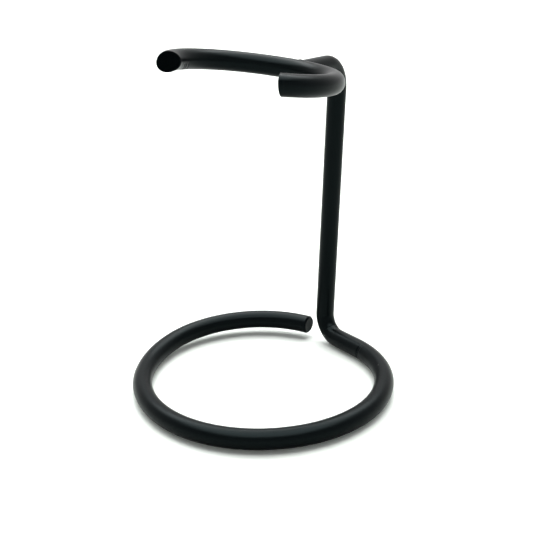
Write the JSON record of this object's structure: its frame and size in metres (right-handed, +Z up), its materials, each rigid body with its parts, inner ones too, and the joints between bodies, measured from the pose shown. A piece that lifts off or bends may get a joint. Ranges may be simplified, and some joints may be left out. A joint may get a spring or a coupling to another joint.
{
  "type": "razor stand",
  "caption": "Free-standing razor stand of bent round rod, with an open ring base, a post and an open C-shaped holder.",
  "frame": {"origin": "on the floor, under the middle of the stand's overall box", "axes": "+Z up, -Y to the front, where the holder's mouth opens; +X to the right seen from the front"},
  "size_m": [0.0832, 0.0843, 0.1039],
  "materials": {
    "black_coating": "satin black coating on steel rod",
    "coated_weld": "the same coating over the weld"
  },
  "bodies": {
    "root": {"stand_rod": "black_coating", "holder_rod": "black_coating", "weld_bead": "coated_weld"}
  },
  "joints": []
}
